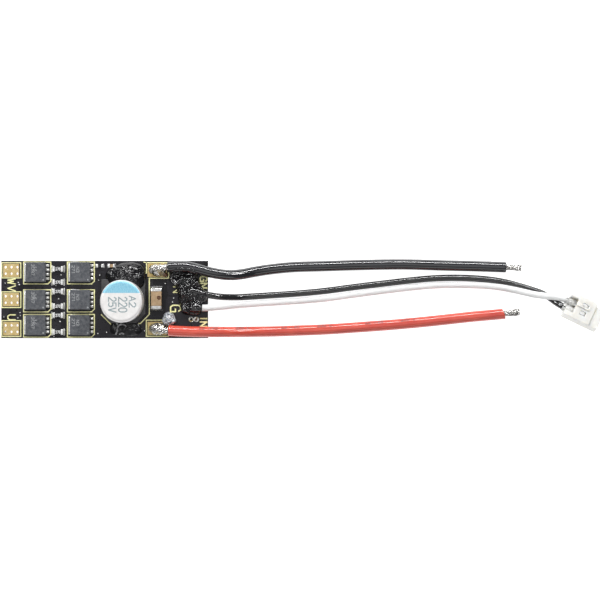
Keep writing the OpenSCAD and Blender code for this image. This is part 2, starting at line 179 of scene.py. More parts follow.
class Shape:
    """Points and faces that become one piece."""

    def __init__(self):
        self.points, self.faces, self.looks = [], [], []

    def add(self, points, faces, look=0):
        n = len(self.points)
        self.points += [tuple(p) for p in points]
        self.faces += [tuple(n + i for i in f) for f in faces]
        self.looks += [look] * len(faces)

    def rows(self, rows, look=0, around=True, caps=(False, False)):
        """A skin over rows of points, all of one length."""
        m = len(rows[0])
        faces = [(i * m + k, i * m + (k + 1) % m, (i + 1) * m + (k + 1) % m, (i + 1) * m + k)
                 for i in range(len(rows) - 1) for k in range(m if around else m - 1)]
        last = (len(rows) - 1) * m
        if caps[0]:
            faces.append(tuple(range(m - 1, -1, -1)))
        if caps[1]:
            faces.append(tuple(range(last, last + m)))
        self.add([p for r in rows for p in r], faces, look)


def make(name, shape, looks, slot, stands_for=(), smooth=True):
    """The piece itself: it rides on the board and takes the record's slot."""
    mesh = bpy.data.meshes.new(name)
    mesh.from_pydata([[c * MM for c in p] for p in shape.points], [], shape.faces)
    for look in looks:
        mesh.materials.append(look.material)
    mesh.polygons.foreach_set("material_index", shape.looks)
    mesh.polygons.foreach_set("use_smooth", [smooth] * len(mesh.polygons))
    mesh.update()
    piece = bpy.data.objects.new(name, mesh)
    put_in_scene(piece)
    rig.ride(piece, "root")
    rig.slot(piece, slot)
    if stands_for:
        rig.replaces(piece, *stands_for)
    return piece


def smooth_line(route, step):
    """A smooth curve through the route's points, with a point about every step."""
    p = [Vector(q) for q in route]
    p = [2 * p[0] - p[1]] + p + [2 * p[-1] - p[-2]]
    out = []
    for a, b, c, d in zip(p, p[1:], p[2:], p[3:]):
        t1 = (b - a).length ** 0.5
        t2 = t1 + (c - b).length ** 0.5
        t3 = t2 + (d - c).length ** 0.5
        n = max(2, round((c - b).length / step))
        for k in range(n):
            t = t1 + (t2 - t1) * k / n
            e = a.lerp(b, t / t1)
            f = b.lerp(c, (t - t1) / (t2 - t1))
            g = c.lerp(d, (t - t2) / (t3 - t2))
            h = e.lerp(f, t / t2)
            i = f.lerp(g, (t - t1) / (t3 - t1))
            out.append(h.lerp(i, (t - t1) / (t2 - t1)))
    return out + [p[-2]]


def axes_along(path):
    """At each point of path: the point, the direction, the side and the up direction."""
    out = []
    for i, p in enumerate(path):
        t = (path[min(i + 1, len(path) - 1)] - path[max(i - 1, 0)]).normalized()
        s = t.cross(UP).normalized()
        out.append((p, t, s, s.cross(t)))
    return out


def sweep(shape, path, radius, sides, start=((0, 1),), end=((0, 1),), slant=0, look=0):
    """A tube along path. start and end list (distance back along the path, share of radius)."""
    at = axes_along(path)
    rings = [(at[0], -d, f, 0) for d, f in start]
    rings += [(at[i], 0, 1, 0) for i in range(1, len(at) - 1)]
    rings += [(at[-1], d, f, slant) for d, f in end]
    rows = []
    for i, ((p, t, s, u), d, f, tilt) in enumerate(rings):
        row = []
        for k in range(sides):
            a = 2 * pi * k / sides
            r = radius(i, a) * f
            row.append(p + r * (cos(a) * s + sin(a) * u)
                       + t * (d + tilt * r * cos(a)))
        rows.append(row)
    shape.rows(rows, look, caps=(True, True))


def rounded_max(a, b, k):
    """The larger of two heights, with the crease between them filled over a height of k."""
    h = max(k - abs(a - b), 0) / k
    return max(a, b) + h * h * k / 4


def heap(shape, outline, centre, height, rings=36, sides=120, base=TOP, rough=0.03):
    """A mound on base inside an outline. In height(x, y, e), e falls from 1 to 0 at the rim."""
    # The line overlaps its own start, and is used from its second corner on.
    closed = smooth_line(outline + outline[:3], 0.25)
    first = min(range(len(closed) // 2), key=lambda i: (closed[i] - Vector(outline[1])).length)
    rim = closed[first:]
    angles = np.array([atan2(q.y - centre[1], q.x - centre[0]) for q in rim])
    reach = np.array([hypot(q.x - centre[0], q.y - centre[1]) for q in rim])
    order = np.argsort(angles)
    angles, reach = angles[order], reach[order]
    rows = []
    for j in range(rings + 1):
        share = sin(pi / 2 * j / rings)
        edge = sqrt(max(0, 1 - share ** 2))
        row = []
        for k in range(sides):
            a = 2 * pi * k / sides - pi
            r = float(np.interp(a, angles, reach, period=2 * pi))
            r *= 1 + rough * noise.noise(Vector((3 * cos(a), 3 * sin(a), centre[0])))
            x, y = centre[0] + share * r * cos(a), centre[1] + share * r * sin(a)
            row.append((x, y, base + (height(x, y, edge) if edge > 0 else -0.02)))
        rows.append(row)
    shape.rows(rows)


def oval(at, rx, ry, n=16):
    return [(at[0] + rx * cos(2 * pi * i / n), at[1] + ry * sin(2 * pi * i / n)) for i in range(n)]


def bead(shape, x0, x1, y0, y1, z, h, power=3, n=8):
    """A low cushion of solder on a rectangle."""
    rows = []
    for i in range(n + 1):
        u = -cos(pi * i / n)
        row = []
        for j in range(n + 1):
            v = -cos(pi * j / n)
            e = max(0, 1 - abs(u) ** power) * max(0, 1 - abs(v) ** power)
            row.append(((x0 + x1) / 2 + u * (x1 - x0) / 2, (y0 + y1) / 2 + v * (y1 - y0) / 2,
                        z + h * e ** 0.45 - (0.01 if e == 0 else 0)))
        rows.append(row)
    shape.rows(rows, around=False)


def lathe(shape, profile, centre, sides):
    """A skin turned about an upright axis, from (radius, z) pairs."""
    turns = [2 * pi * k / sides for k in range(sides)]
    shape.rows([[(centre[0] + r * cos(a), centre[1] + r * sin(a), z) for a in turns]
                for r, z in profile], caps=(False, True))


# ---- Printed lines and letters ----

# Strokes of each letter, in hundredths of its width and height.
GLYPHS = {
    "A": ["0,0 50,100 100,0", "20,36 80,36"],
    "C": ["95,80 75,100 28,100 0,78 0,22 28,0 75,0 95,20"],
    "G": ["95,80 70,100 25,100 0,75 0,25 25,0 100,0 100,48 60,48"],
    "I": ["50,0 50,100"],
    "N": ["0,0 0,100 95,0 95,100"],
    "U": ["0,100 0,25 25,0 72,0 97,25 97,100"],
    "V": ["0,100 50,0 100,100"],
    "W": ["0,100 25,0 50,75 75,0 100,100"],
    "0": ["30,0 2,25 2,75 30,100 68,100 96,75 96,25 68,0 30,0"],
    "1": ["20,78 55,100 55,0"],
    "2": ["5,78 28,100 70,100 94,80 90,58 2,0 98,0"],
    "3": ["5,90 35,100 75,100 94,78 70,54 40,54", "70,54 98,30 75,0 30,0 2,12"],
    "5": ["90,100 12,100 6,54 62,60 96,38 90,12 60,0 4,6"],
    "6": ["85,100 35,85 4,45 10,12 45,0 85,8 96,32 75,54 30,54 6,36"],
    "7": ["2,100 96,100 35,0"],
    "+": ["50,15 50,85", "12,50 88,50"],
    "-": ["12,50 88,50"],
    " ": [],
}


def flat(z):
    """Places print on a level face."""
    return lambda x, y, h: (x, y, z + h)


def ribbon(shape, line, width, put, closed=False, lift=0.012):
    """A thin strip of ink along a line. put(x, y, h) gives the place of a point at height h."""
    pts = [Vector((p[0], p[1])) for p in line]
    n = len(pts)
    rows = []
    for i, p in enumerate(pts):
        before = pts[i - 1] if closed or i > 0 else p
        after = pts[(i + 1) % n] if closed or i < n - 1 else p
        a = (p - before).normalized() if (p - before).length > 1e-6 else None
        b = (after - p).normalized() if (after - p).length > 1e-6 else a
        a = a or b
        t = (a + b).normalized() if (a + b).length > 1e-3 else b
        stretch = min(1.8, 1 / max(0.3, t.dot(b)))
        side = Vector((-t.y, t.x)) * width / 2 * stretch
        tip = Vector((0, 0))
        if not closed and i in (0, n - 1):
            tip = t * width * 0.35 * (-1 if i == 0 else 1)
        left, right = p + side + tip, p - side + tip
        rows.append([put(left.x, left.y, 0), put(left.x, left.y, lift),
                     put(right.x, right.y, lift), put(right.x, right.y, 0)])
    if closed:
        rows.append(rows[0])
    shape.rows(rows, around=False)


def write(shape, text, at, size, put, turned=False, stroke=0.15, gap=0.28):
    """Letters of size (width, height) from at. turned ones read down the board, in -Y."""
    w, h = size
    for n, letter in enumerate(text):
        strokes = []
        for line in GLYPHS[letter]:
            pts = [[int(c) / 100 for c in point.split(",")] for point in line.split()]
            pts = [((n * (1 + gap) + u) * w, v * h) for u, v in pts]
            pts = [Vector((at[0] + q, at[1] - p) if turned else (at[0] + p, at[1] + q))
                   for p, q in pts]
            first = 0       # a stroke ends at each sharp corner
            for i in range(1, len(pts) - 1):
                if (pts[i] - pts[i - 1]).angle(pts[i + 1] - pts[i]) > 1.2:
                    strokes.append(pts[first:i + 1])
                    first = i
            strokes.append(pts[first:])
        for i, pts in enumerate(strokes):
            ribbon(shape, pts, stroke, put, lift=0.012 + 0.003 * i)


# ---- Materials ----

class Look:
    """A procedural material on one Principled shader. Its textures are in the row frame, in mm."""

    def __init__(self, name, **sockets):
        self.material = bpy.data.materials.new(name)
        self.material.use_nodes = True
        self.tree = self.material.node_tree
        self.tree.nodes.clear()
        self.shader = self.add("BsdfPrincipled")
        self.put(self.add("OutputMaterial").inputs[0], self.shader.outputs[0])
        scaled = self.add("VectorMath", operation="SCALE")
        scaled.inputs["Scale"].default_value = 1 / MM
        self.put(scaled.inputs[0], self.add("TexCoord").outputs["Object"])
        self.mm = scaled.outputs[0]
        self.normal = None
        self.set(**sockets)

    def add(self, kind, **props):
        node = self.tree.nodes.new("ShaderNode" + kind)
        for key, value in props.items():
            setattr(node, key, value)
        return node

    def put(self, socket, value):
        if isinstance(value, bpy.types.NodeSocket):
            self.tree.links.new(value, socket)
        elif isinstance(value, tuple) and len(value) == 3 and socket.type == "RGBA":
            socket.default_value = (*value, 1)
        else:
            socket.default_value = value

    def set(self, **sockets):
        for key, value in sockets.items():
            self.put(self.shader.inputs[key.replace("_", " ")], value)
        return self

    def place(self, stretch):
        if stretch == (1, 1, 1):
            return self.mm
        node = self.add("VectorMath", operation="MULTIPLY")
        self.put(node.inputs[0], self.mm)
        node.inputs[1].default_value = stretch
        return node.outputs[0]

    def noise(self, scale, detail=2.0, rough=0.5, distort=0.0, stretch=(1, 1, 1)):
        node = self.add("TexNoise")
        self.put(node.inputs["Vector"], self.place(stretch))
        for key, value in zip(("Scale", "Detail", "Roughness", "Distortion"),
                              (scale, detail, rough, distort)):
            node.inputs[key].default_value = value
        return node.outputs[0]

    def cells(self, scale, distance="EUCLIDEAN", stretch=(1, 1, 1)):
        node = self.add("TexVoronoi", distance=distance)
        self.put(node.inputs["Vector"], self.place(stretch))
        node.inputs["Scale"].default_value = scale
        return node.outputs["Distance"]

    def axis(self, name):
        node = self.add("SeparateXYZ")
        self.put(node.inputs[0], self.mm)
        return node.outputs[name]

    def calc(self, operation, a, b=0.0, c=0.0):
        node = self.add("Math", operation=operation)
        for socket, value in zip(node.inputs, (a, b, c)):
            self.put(socket, value)
        return node.outputs[0]

    def ramp(self, value, *stops):
        """Colours or grey levels at positions, between 0 and 1."""
        node = self.add("ValToRGB")
        band = node.color_ramp
        while len(band.elements) < len(stops):
            band.elements.new(1)
        for element, (at, colour) in zip(band.elements, stops):
            element.position = at
            if not isinstance(colour, tuple):
                colour = (colour,) * 3
            element.color = (*colour, 1)
        self.put(node.inputs[0], value)
        return node.outputs[0]

    def mix(self, share, a, b):
        node = self.add("Mix", data_type="RGBA")
        self.put(node.inputs[0], share)
        self.put(node.inputs[6], a)
        self.put(node.inputs[7], b)
        return node.outputs[2]

    def bump(self, height, depth, strength=1.0):
        """Adds relief of this depth in mm."""
        node = self.add("Bump")
        node.inputs["Strength"].default_value = strength
        node.inputs["Distance"].default_value = depth * MM
        self.put(node.inputs["Height"], height)
        if self.normal:
            self.put(node.inputs["Normal"], self.normal)
        self.normal = node.outputs[0]
        self.put(self.shader.inputs["Normal"], self.normal)
        return self


def plain(name, dark, light, roughness, scale=1.2, grain=14, depth=0.01, **sockets):
    """A moulded or printed surface: a mottled colour, a fine grain and uneven gloss."""
    look = Look(name, **sockets)
    look.set(Base_Color=look.ramp(look.noise(scale, 4, 0.6), (0.3, dark), (0.72, light)),
             Roughness=look.ramp(look.noise(scale * 3, 3),
                                 (0.25, roughness[0]), (0.75, roughness[1])))
    return look.bump(look.noise(grain, 3, 0.6), depth)


def metal(name, dark, light, roughness, metallic=1.0, scale=2.0, grain=10, depth=0.02,
          stretch=(1, 1, 1)):
    """A metal with uneven tone and gloss, and a grain that stretch draws out."""
    look = Look(name, Metallic=metallic)
    look.set(Base_Color=look.ramp(look.noise(scale, 3, 0.6, stretch=stretch),
                                  (0.3, dark), (0.7, light)),
             Roughness=look.ramp(look.noise(scale * 2.5, 3),
                                 (0.25, roughness[0]), (0.75, roughness[1])))
    return look.bump(look.noise(grain, 3, 0.55, stretch=stretch), depth)


def solder_mask():
    """Near-black lacquer over copper areas, with their relief, and small filled holes."""
    look = Look("solder_mask", Specular_IOR_Level=0.3)
    copper = look.ramp(look.cells(0.55, distance="CHEBYCHEV", stretch=(1, 0.8, 0)),
                       (0.56, 1), (0.6, 0))
    trace = look.ramp(look.cells(1.15, distance="MANHATTAN", stretch=(0.6, 1.2, 0)),
                      (0.1, 1), (0.16, 0))
    area = look.calc("MAXIMUM", copper, trace)
    tone = look.mix(area, (0.004, 0.0037, 0.0052), (0.013, 0.012, 0.016))
    dust = look.ramp(look.noise(7, 2), (0.62, 0), (0.76, 0.5))
    look.set(Base_Color=look.mix(dust, tone, (0.05, 0.048, 0.05)),
             Roughness=look.ramp(look.noise(2.2, 3), (0.3, 0.24), (0.7, 0.42)))
    look.bump(area, 0.02, 0.7)
    return look.bump(look.noise(22, 2), 0.004)


def laminate():
    """The board's cut edge: brown glass cloth in layers, with a dark skin at both faces."""
    look = Look("laminate", Specular_IOR_Level=0.4)
    z = look.calc("SUBTRACT", look.axis("Z"), BOTTOM)
    layer = look.calc("SINE", look.calc("MULTIPLY", z, 42.0))
    wave = look.calc("MULTIPLY_ADD", layer, 0.25, look.noise(6, 4, 0.7, stretch=(1, 1, 3)))
    cloth = look.ramp(wave, (0.3, (0.035, 0.026, 0.015)), (0.75, (0.13, 0.1, 0.055)))
    skin = look.calc("GREATER_THAN", look.calc("ABSOLUTE", look.calc("SUBTRACT", z, 0.6)), 0.545)
    look.set(Base_Color=look.mix(skin, cloth, (0.012, 0.011, 0.013)),
             Roughness=look.ramp(wave, (0.2, 0.5), (0.8, 0.8)))
    return look.bump(wave, 0.03)


def gold():
    """Brushed gold with paler, tinned patches."""
    look = Look("gold_pad", Metallic=0.72)
    worn = look.ramp(look.noise(1.6, 4, 0.65),
                     (0.35, (0.58, 0.425, 0.165)), (0.7, (0.71, 0.57, 0.3)))
    tinned = look.ramp(look.noise(3.2, 3, 0.6, 0.5), (0.6, 0), (0.72, 0.6))
    look.set(Base_Color=look.mix(tinned, worn, (0.86, 0.78, 0.62)),
             Roughness=look.ramp(look.noise(5, 3), (0.3, 0.34), (0.7, 0.5)))
    return look.bump(look.noise(16, 3, 0.6, stretch=(1, 3, 1)), 0.008)


def epoxy(name, dark, light):
    """Moulded epoxy: a dark grey with filler specks and a fine spark-eroded grain."""
    look = Look(name, Specular_IOR_Level=0.5)
    body = look.ramp(look.noise(2.2, 5, 0.75), (0.34, dark), (0.68, light))
    speck = look.ramp(look.noise(8, 3, 0.7), (0.56, 0), (0.74, 0.6))
    look.set(Base_Color=look.mix(speck, body, tuple(min(1, 2.1 * c) for c in light)),
             Roughness=look.ramp(look.noise(4, 2), (0.3, 0.46), (0.7, 0.62)))
    return look.bump(look.noise(24, 3, 0.7), 0.012)


def solder():
    """Uneven hand solder with frosted patches and brown flux dried in its hollows."""
    look = Look("joint_solder")
    flux = look.ramp(look.noise(1.1, 4, 0.62, 0.8), (0.54, 0), (0.62, 1))
    silver = look.ramp(look.noise(1.9, 4, 0.6), (0.38, (0.12, 0.115, 0.11)),
                       (0.5, (0.56, 0.55, 0.52)), (0.64, (0.86, 0.85, 0.82)))
    look.set(Base_Color=look.mix(flux, silver, (0.36, 0.28, 0.13)),
             Metallic=look.calc("SUBTRACT", 1.0, look.calc("MULTIPLY", flux, 0.75)),
             Roughness=look.ramp(look.noise(2.6, 3), (0.3, 0.12), (0.7, 0.34)))
    look.bump(look.noise(1.5, 3, 0.5, 0.6), 0.16)
    return look.bump(look.noise(6, 2), 0.003)


def can_metal():
    """Drawn aluminium: satin, turned rings on top, and the pale blue mark of the negative side."""
    look = Look("can_aluminium")
    x = look.calc("SUBTRACT", look.axis("X"), CAN[0])
    y = look.calc("SUBTRACT", look.axis("Y"), CAN[1])
    r = look.calc("SQRT", look.calc("MULTIPLY_ADD", x, x, look.calc("MULTIPLY", y, y)))
    face = look.calc("MULTIPLY", look.calc("GREATER_THAN", look.axis("Z"), 7.7),
                     look.calc("LESS_THAN", r, 3.04))
    edge = look.calc("MULTIPLY_ADD", look.noise(7, 2), 0.05, 1.2)
    blue = look.calc("MULTIPLY", face, look.calc("GREATER_THAN", y, edge))
    worn = look.ramp(look.noise(5, 4, 0.7, stretch=(1.6, 0.6, 1)), (0.3, (0.16, 0.46, 0.63)),
                     (0.56, (0.28, 0.59, 0.74)), (0.76, (0.52, 0.76, 0.86)))
    silver = look.ramp(look.noise(2.2, 4, 0.6, stretch=(1, 1, 0.2)), (0.3, (0.62, 0.615, 0.62)),
                       (0.7, (0.82, 0.815, 0.82)))
    white = look.ramp(look.noise(1.4, 4, 0.6),
                      (0.3, (0.74, 0.725, 0.715)), (0.72, (0.86, 0.845, 0.835)))
    shell = look.mix(face, silver, white)
    look.set(Base_Color=look.mix(blue, shell, worn),
             Metallic=look.calc("MULTIPLY_ADD", face, -0.5, 0.65),
             Roughness=look.calc("MULTIPLY_ADD", look.noise(5, 3), 0.12,
                                 look.calc("MULTIPLY_ADD", face, 0.04, 0.3)))
    rings = look.calc("SINE", look.calc("MULTIPLY", r, 60.0))
    look.bump(look.calc("MULTIPLY", rings, face), 0.0015)
    return look.bump(look.noise(9, 3, 0.6, stretch=(1, 1, 0.15)), 0.008)


def wet_glue(name, gloss, lump, folds, bubbles):
    """Black adhesive that still looks wet: folds of this size and depth, and tiny bubbles."""
    look = Look(name, Specular_IOR_Level=gloss)
    look.set(Base_Color=look.ramp(look.noise(1.1, 4), (0.35, (0.002, 0.002, 0.003)),
                                  (0.75, (0.008, 0.0075, 0.009))),
             Roughness=look.ramp(look.noise(1.8, 4, 0.6), (0.35, 0.04), (0.65, 0.12)))
    look.bump(look.noise(lump, 2, 0.5, 0.8), folds)
    return look.bump(look.ramp(look.cells(0.9), (0.04, 1), (0.2, 0)), bubbles)


def clear_glue():
    """Cloudy hot-melt glue with milky streaks."""
    look = Look("clear_adhesive", IOR=1.48, Transmission_Weight=0.35, Subsurface_Weight=0.25,
                Subsurface_Scale=0.0006, Subsurface_Radius=(1, 1, 1))
    look.set(Base_Color=look.ramp(look.noise(1.7, 5, 0.7, 0.8), (0.38, (0.05, 0.06, 0.08)),
                                  (0.48, (0.52, 0.56, 0.62)), (0.58, (0.97, 0.98, 0.99))),
             Roughness=look.ramp(look.noise(3, 3), (0.3, 0.12), (0.7, 0.4)))
    look.bump(look.noise(3.4, 4, 0.65, 0.7), 0.16)
    return look.bump(look.noise(12, 2), 0.02)


def rubber(name, dark, light, roughness, gloss, depth=0.012, **sockets):
    """An extruded jacket: faint lines along the lead and a soft powdery grain."""
    look = Look(name, Specular_IOR_Level=gloss, **sockets)
    tone = look.noise(0.7, 4, 0.6, stretch=(0.35, 1, 1))
    look.set(Base_Color=look.ramp(tone, (0.32, dark), (0.7, light)),
             Roughness=look.ramp(look.noise(3, 3, stretch=(0.3, 1, 1)), (0.3, roughness[0]),
                                 (0.7, roughness[1])))
    look.bump(look.noise(0.9, 2, stretch=(0.25, 1, 1)), depth)
    return look.bump(look.noise(17, 3, 0.7), depth * 0.06)


def ceramic():
    """Fired tan ceramic with darker specks."""
    look = Look("ceramic", Specular_IOR_Level=0.55)
    body = look.ramp(look.noise(1.8, 5, 0.62),
                     (0.3, (0.32, 0.208, 0.11)), (0.7, (0.49, 0.342, 0.202)))
    speck = look.ramp(look.noise(19, 2), (0.62, 0), (0.74, 0.55))
    look.set(Base_Color=look.mix(speck, body, (0.3, 0.19, 0.11)),
             Roughness=look.ramp(look.noise(5, 3), (0.3, 0.3), (0.7, 0.46)))
    return look.bump(look.noise(13, 3, 0.6), 0.012)


def nylon():
    """Moulded white nylon, a little translucent, warmer where it is thick."""
    look = Look("white_nylon", Subsurface_Weight=0.55, Subsurface_Scale=0.0013,
                Subsurface_Radius=(1.0, 0.9, 0.75), Specular_IOR_Level=0.45)
    look.set(Base_Color=look.ramp(look.noise(0.8, 4),
                                  (0.3, (0.69, 0.68, 0.64)), (0.7, (0.78, 0.78, 0.755))),
             Roughness=look.ramp(look.noise(3, 3), (0.3, 0.3), (0.7, 0.45)))
    return look.bump(look.noise(8, 3, 0.6), 0.01)


mask, edge, pads, hand_solder = solder_mask(), laminate(), gold(), solder()
bright = metal("solder", (0.8, 0.8, 0.79), (0.96, 0.96, 0.95), (0.22, 0.4), 0.8, 3, 7, 0.02)
tin = metal("tinned_metal", (0.66, 0.66, 0.65), (0.9, 0.9, 0.89), (0.2, 0.42))
crimp_metal = metal("crimp_metal", (0.5, 0.5, 0.49), (0.8, 0.8, 0.79),
                    (0.25, 0.4), 0.45, 3, 9, 0.02)
epoxy_pale = epoxy("moulded_epoxy", (0.034, 0.038, 0.046), (0.113, 0.119, 0.13))
epoxy_dark = epoxy("moulded_epoxy_dark", (0.018, 0.018, 0.02), (0.03, 0.03, 0.033))
glaze = plain("resistor_glaze", (0.007, 0.007, 0.008), (0.018, 0.018, 0.02),
              (0.14, 0.3), 2, 20, 0.008)
fired = ceramic()
aluminium = can_metal()
bung = plain("bung_rubber", (0.02, 0.02, 0.02), (0.035, 0.035, 0.034), (0.6, 0.8))
foil = metal("winding", (0.35, 0.33, 0.28), (0.6, 0.57, 0.5), (0.4, 0.6), 0.4, stretch=(0.3, 0.3, 8))
base_black = plain("base_plastic", (0.03, 0.03, 0.032), (0.065, 0.064, 0.066), (0.34, 0.5))
glue = wet_glue("black_adhesive", 0.9, 0.9, 0.08, 0.05)
calm_glue = wet_glue("black_adhesive_calm", 0.55, 0.5, 0.05, 0.02)
# Strings of black glue coloured dark to light grey: the light grey is a painted highlight, not the glue's own colour.
glue_string_painted_highlight = plain("adhesive_string_painted_highlight", (0.05, 0.05, 0.052), (0.42, 0.42, 0.43),
                    (0.08, 0.2), 1.6, 9, 0.01)
milky = clear_glue()
black_wire = rubber("black_silicone", (0.005, 0.0055, 0.008), (0.011, 0.012, 0.016),
                    (0.11, 0.16), 1.0, 0.003)
red_wire = rubber("red_silicone", (0.53, 0.05, 0.032), (0.7, 0.092, 0.056), (0.15, 0.22), 0.9, 0.008)
thin_black = rubber("black_insulation", (0.004, 0.004, 0.005), (0.01, 0.01, 0.011),
                    (0.1, 0.15), 0.95, 0.003)
thin_white = rubber("white_insulation", (0.71, 0.715, 0.715), (0.77, 0.775, 0.775), (0.5, 0.62), 0.18,
                    Subsurface_Weight=1.0, Subsurface_Scale=0.0008, Subsurface_Radius=(1, 1, 1))
strand_metal = metal("tinned_copper", (0.34, 0.33, 0.32), (0.7, 0.69, 0.67), (0.14, 0.3),
                     grain=7)
white_plastic = nylon()
yellow_ink = plain("silkscreen_ink", (0.74, 0.71, 0.31), (0.94, 0.92, 0.52), (0.5, 0.7), 3, 26, 0.006)
etched = plain("etched_marks", (0.2, 0.205, 0.215), (0.38, 0.39, 0.4), (0.6, 0.8), 5, 26, 0.006)
pale_ink = plain("pale_marks", (0.62, 0.63, 0.63), (0.92, 0.92, 0.91), (0.5, 0.7), 5, 26, 0.006)
can_ink = plain("can_marks", (0.19, 0.25, 0.27), (0.34, 0.42, 0.44), (0.5, 0.7), 5, 26, 0.004)
wire_ink = plain("wire_marks", (0.1, 0.035, 0.035), (0.22, 0.09, 0.085), (0.5, 0.7), 5, 26, 0.004)
flux_brown = plain("flux", (0.055, 0.018, 0.006), (0.16, 0.065, 0.02),
                   (0.08, 0.2), 3, 9, 0.02, Coat_Weight=0.5)


# ---- Camera, light and floor ----

camera = bpy.data.objects.new("camera", bpy.data.cameras.new("camera"))
camera.location = (0.0293, -0.000075, 0.422)
camera.data.lens = 168
camera.data.sensor_width = 36
camera.data.clip_start = 0.01
put_in_scene(camera)
scene.camera = camera


def softbox(name, at, size, strength):
    """A rectangular light that faces the middle of the object."""
    light = bpy.data.lights.new(name, "AREA")
    light.shape = "RECTANGLE"
    light.size, light.size_y = size
    light.energy = strength
    lamp = bpy.data.objects.new(name, light)
    lamp.location = at
    lamp.rotation_mode = "QUATERNION"
    lamp.rotation_quaternion = (Vector(at) - Vector((0.03, 0, 0.003))).to_track_quat("Z", "X")
    put_in_scene(lamp)


softbox("strip_back", (0.03, 0.26, 0.17), (0.016, 0.44), 1.25)
softbox("strip_front", (0.03, -0.3, 0.22), (0.16, 0.4), 0.2)
softbox("key_left", (-0.22, 0.1, 0.3), (0.04, 0.04), 0.36)
softbox("key_right", (0.26, 0.16, 0.32), (0.04, 0.04), 0.26)

world = bpy.data.worlds.new("studio")
world.use_nodes = True
scene.world = world
sky = world.node_tree
direction = sky.nodes.new("ShaderNodeTexCoord").outputs["Generated"]
split = sky.nodes.new("ShaderNodeSeparateXYZ")
sky.links.new(direction, split.inputs[0])
tone = sky.nodes.new("ShaderNodeValToRGB")  # brightest low down, darkest overhead
for element, (at, level) in zip(
        [*tone.color_ramp.elements, tone.color_ramp.elements.new(0.9)],
        ((0.4, 0.18), (0.97, 0.03), (0.84, 0.085))):
    element.position = at
    element.color = (level, level, level, 1)
sky.links.new(split.outputs["Z"], tone.inputs[0])
sky.links.new(tone.outputs[0], sky.nodes["Background"].inputs["Color"])
scene.view_settings.view_transform = "Standard"

FLOOR_Z = -0.03  # just below what rests on it
floor_look = plain("studio_floor", (0.5, 0.5, 0.5), (0.54, 0.54, 0.54), (0.8, 0.9), 0.02, 0.5, 0.0)
floor_look.set(Emission_Color=(1, 1, 1), Emission_Strength=1)
floor_mesh = bpy.data.meshes.new("studio_floor")
floor_mesh.from_pydata([(x * MM, y * MM, FLOOR_Z * MM) for x, y in (
    (-900, -900), (960, -900), (960, 900), (-900, 900))], [], [(0, 1, 2, 3)])
floor_mesh.materials.append(floor_look.material)
studio_floor = bpy.data.objects.new("studio_floor", floor_mesh)
put_in_scene(studio_floor)
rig.stage(studio_floor)


# ---- Leads ----

NEGATIVE = [
    (9.5, 4.85, 3.02), (11, 4.95, 3.04), (12.4, 4.9, 3.04), (14, 4.55, 3.04), (15.6, 4.12, 3.02),
    (17.2, 3.8, 2.84), (18.9, 3.65, 2.4), (20.6, 3.8, 1.8), (22.4, 4.15, 1.25), (24.6, 4.5, 0.9),
    (28, 4.85, 0.8), (33, 5.02, 0.8), (39, 5.2, 0.8), (45, 5.28, 0.8), (51, 5.12, 0.8),
    (56, 5, 0.8), (60.3, 4.85, 0.8)]
POSITIVE = [
    (9.6, -4.65, 3.02), (11.4, -4.75, 3.04), (13.4, -4.82, 3.04), (15.5, -4.85, 3.02),
    (17.4, -4.86, 2.78), (19.2, -4.86, 2.3), (21, -4.85, 1.7), (22.8, -4.83, 1.2),
    (25, -4.8, 0.88), (28.5, -4.68, 0.8), (33, -4.5, 0.8), (39, -4.1, 0.8), (44.5, -3.68, 0.8),
    (50, -3.15, 0.8), (55, -2.6, 0.8), (60, -2.15, 0.8)]
GROUND = [
    (13.2, 1.25, 2.78), (14.4, 0.95, 2.82), (15.6, 0.66, 2.78), (17, 0.45, 2.45),
    (18.6, 0.35, 1.75), (20.4, 0.36, 0.95), (22.4, 0.47, 0.58), (25, 0.64, 0.5),
    (28.2, 0.85, 0.5), (32.6, 1.24, 0.5), (37, 1.81, 0.5), (41.4, 2.34, 0.5),
    (46.2, 2.9, 0.5), (49.8, 3.2, 0.5), (53.4, 3.25, 0.5), (57, 3.06, 0.5),
    (59.6, 2.7, 0.5), (62, 2.12, 0.5), (64.2, 1.46, 0.5), (65.6, 0.98, 0.5), (66.8, 0.32, 0.54),
    (67.7, -0.36, 0.86), (68.4, -0.83, 1.27), (69.06, -1.2, 1.58), (69.86, -1.6, 1.69)]
SIGNAL = [
    (13.2, -1.3, 2.78), (14.5, -1.28, 2.82), (15.7, -1.22, 2.76), (17.3, -1.1, 2.35),
    (19, -0.93, 1.6), (20.8, -0.78, 0.9), (22.8, -0.62, 0.56), (25.2, -0.48, 0.5),
    (28.2, -0.28, 0.5), (32.8, 0.1, 0.5), (37, 0.67, 0.5), (41.5, 1.26, 0.5),
    (46.2, 1.82, 0.5), (49.8, 2.12, 0.5), (53.4, 2.18, 0.5), (57, 2.07, 0.74),
    (59.6, 1.78, 0.99), (61.8, 1.36, 1.18), (63, 1.08, 1.26), (64.2, 0.8, 1.36),
    (65.6, 0.58, 1.54), (67, 0.44, 1.64), (68.4, 0.25, 1.57), (69.57, -0.13, 1.44),
    (70.38, -0.52, 1.43)]
POWER_R, SIGNAL_R = 0.8, 0.5
STRIP = 2.3  # bare length at a battery lead's far end
STRANDS, TWIST = 7, 4.2  # about a middle one; mm a turn
SPREAD = 0.29  # from a bundle's axis to its strands
JOINTS = {"negative": Vector((7.3, 4.6, 2.72)), "positive": Vector((7.3, -4.5, 2.72))}


def lay(route, radius):
    """The route as a smooth line that never dips below what it lies on."""
    line = smooth_line(route, 0.35)
    for p in line:
        p.z = max(p.z, radius)
    return line


